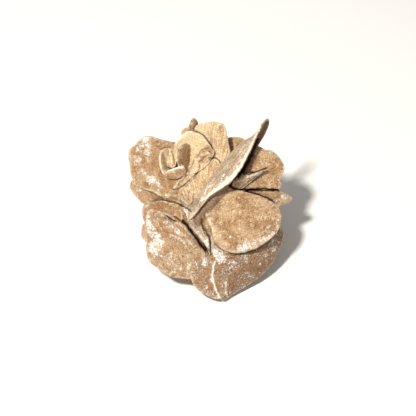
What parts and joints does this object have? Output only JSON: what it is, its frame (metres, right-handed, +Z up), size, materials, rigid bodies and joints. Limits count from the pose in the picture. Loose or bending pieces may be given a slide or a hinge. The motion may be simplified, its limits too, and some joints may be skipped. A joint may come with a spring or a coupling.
{
  "type": "gypsum sand rose",
  "caption": "Cluster of lens-shaped sandy gypsum blades grown together in a rose, flat where it rests.",
  "frame": {"origin": "middle of the flat scar that the rose rests on", "axes": "+Z up from the resting plane, -Y towards the side that the open face of the rose looks to, +X to that face's right"},
  "size_m": [0.0748, 0.0696, 0.0638],
  "materials": {
    "sandy_gypsum": "matte golden-tan sand grown into gypsum, paler worn rims, white frosted patches"
  },
  "bodies": {
    "root": {"sand_rose": "sandy_gypsum"}
  },
  "joints": []
}
